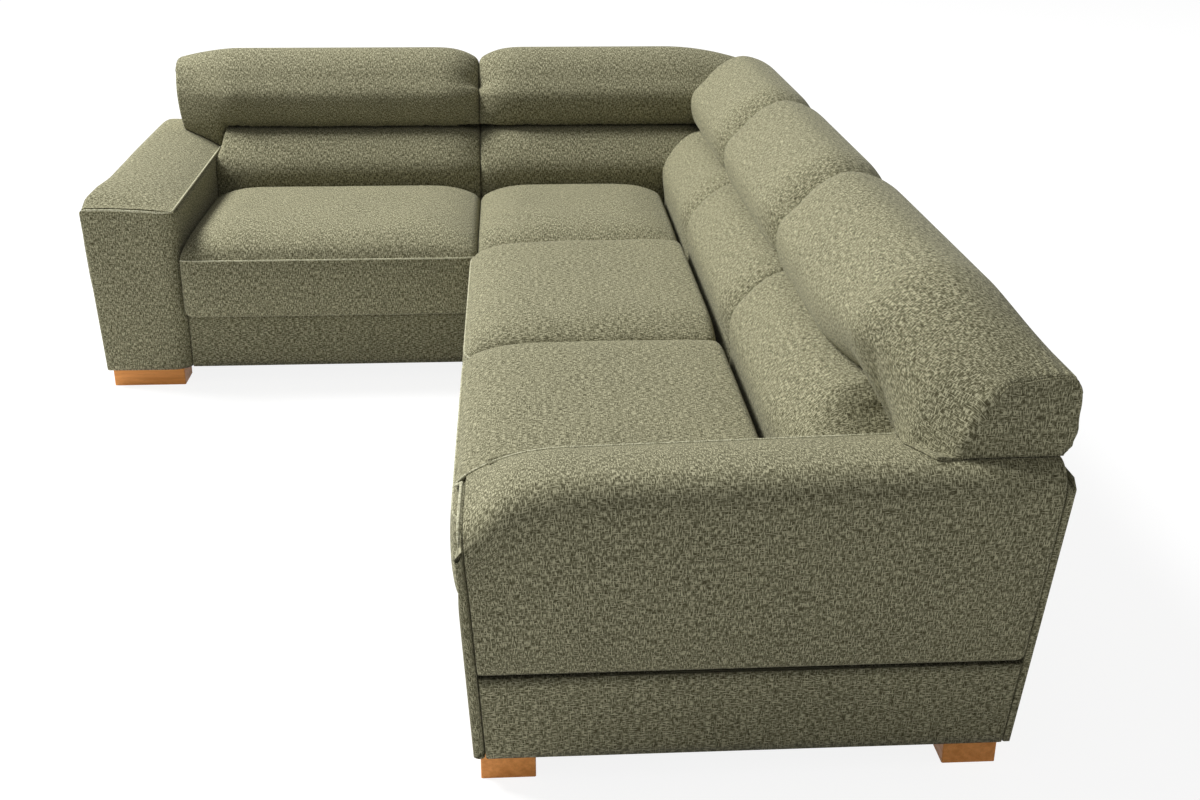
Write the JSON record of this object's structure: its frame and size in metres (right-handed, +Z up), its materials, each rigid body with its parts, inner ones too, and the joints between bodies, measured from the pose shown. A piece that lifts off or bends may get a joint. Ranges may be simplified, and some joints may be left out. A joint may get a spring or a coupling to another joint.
{
  "type": "corner sofa",
  "caption": "Upholstered L-shaped corner sofa with box seat cushions that lift off, padded lumbar backs with top pillows, domed arms and oak block feet.",
  "frame": {"origin": "centre of the sofa's floor outline, on the floor under the feet", "axes": "+Z up; +Y along the long wing, from its arm towards the corner's rear; +X across, from the short wing's arm towards the long wing's back"},
  "size_m": [2.2635, 3.1116, 0.8963],
  "materials": {
    "chenille": "sage green chenille, slubby cross weave",
    "foam": "upholstery foam",
    "oak": "oiled oak",
    "timber": "sawn softwood and plywood",
    "deck_cloth": "woven deck cloth over felt",
    "dust_cloth": "non-woven dust cover",
    "spring_steel": "oil-tempered wire",
    "webbing": "elastic webbing",
    "leg_plastic": "black moulded",
    "zinc_steel": "zinc plated"
  },
  "bodies": {
    "sofa_base": {"left_lumbar_pad": "chenille", "corner_left_lumbar_pad": "chenille", "corner_right_lumbar_pad": "chenille", "middle_lumbar_pad": "chenille", "near_lumbar_pad": "chenille", "left_pillow": "chenille", "corner_left_pillow": "chenille", "corner_right_pillow": "chenille", "middle_pillow": "chenille", "near_pillow": "chenille", "left_arm_pad": "chenille", "left_arm_facing": "chenille", "left_arm_inner_panel": "chenille", "left_arm_base_panel": "chenille", "left_arm_frame": "timber", "near_arm_pad": "chenille", "near_arm_facing": "chenille", "near_arm_inner_panel": "chenille", "near_arm_base_panel": "chenille", "near_arm_frame": "timber", "left_front_rail_panel": "chenille", "right_front_rail_panel": "chenille", "left_outer_back_panel": "chenille", "corner_left_outer_back_panel": "chenille", "corner_right_outer_back_panel": "chenille", "right_outer_back_panel": "chenille", "left_seat_deck": "deck_cloth", "corner_seat_deck": "deck_cloth", "right_seat_deck": "deck_cloth", "left_dust_cover": "dust_cloth", "corner_dust_cover": "dust_cloth", "right_dust_cover": "dust_cloth", "left_seat_springs": "spring_steel", "corner_seat_springs": "spring_steel", "right_seat_springs": "spring_steel", "spring_clips": "spring_steel", "left_base_frame": "timber", "corner_base_frame": "timber", "right_base_frame": "timber", "left_back_frame": "timber", "corner_left_back_frame": "timber", "corner_right_back_frame": "timber", "right_back_frame": "timber", "back_webbing": "webbing", "left_arm_front_foot": "oak", "left_arm_rear_foot": "oak", "near_arm_front_foot": "oak", "near_arm_rear_foot": "oak", "corner_rear_foot": "oak", "hidden_support_legs": "leg_plastic", "foot_bolts": "zinc_steel", "module_brackets": "zinc_steel"},
    "left_seat_cushion": {"left_seat_cover": "chenille", "left_seat_core": "foam"},
    "corner_seat_cushion": {"corner_seat_cover": "chenille", "corner_seat_core": "foam"},
    "middle_seat_cushion": {"middle_seat_cover": "chenille", "middle_seat_core": "foam"},
    "near_seat_cushion": {"near_seat_cover": "chenille", "near_seat_core": "foam"}
  },
  "joints": [
    {"name": "left_cushion_lift", "type": "slide", "parent": "sofa_base", "child": "left_seat_cushion", "axis": [0, 0, 1], "range_m": [0, 0.25]},
    {"name": "corner_cushion_lift", "type": "slide", "parent": "sofa_base", "child": "corner_seat_cushion", "axis": [0, 0, 1], "range_m": [0, 0.25]},
    {"name": "middle_cushion_lift", "type": "slide", "parent": "sofa_base", "child": "middle_seat_cushion", "axis": [0, 0, 1], "range_m": [0, 0.25]},
    {"name": "near_cushion_lift", "type": "slide", "parent": "sofa_base", "child": "near_seat_cushion", "axis": [0, 0, 1], "range_m": [0, 0.25]}
  ]
}
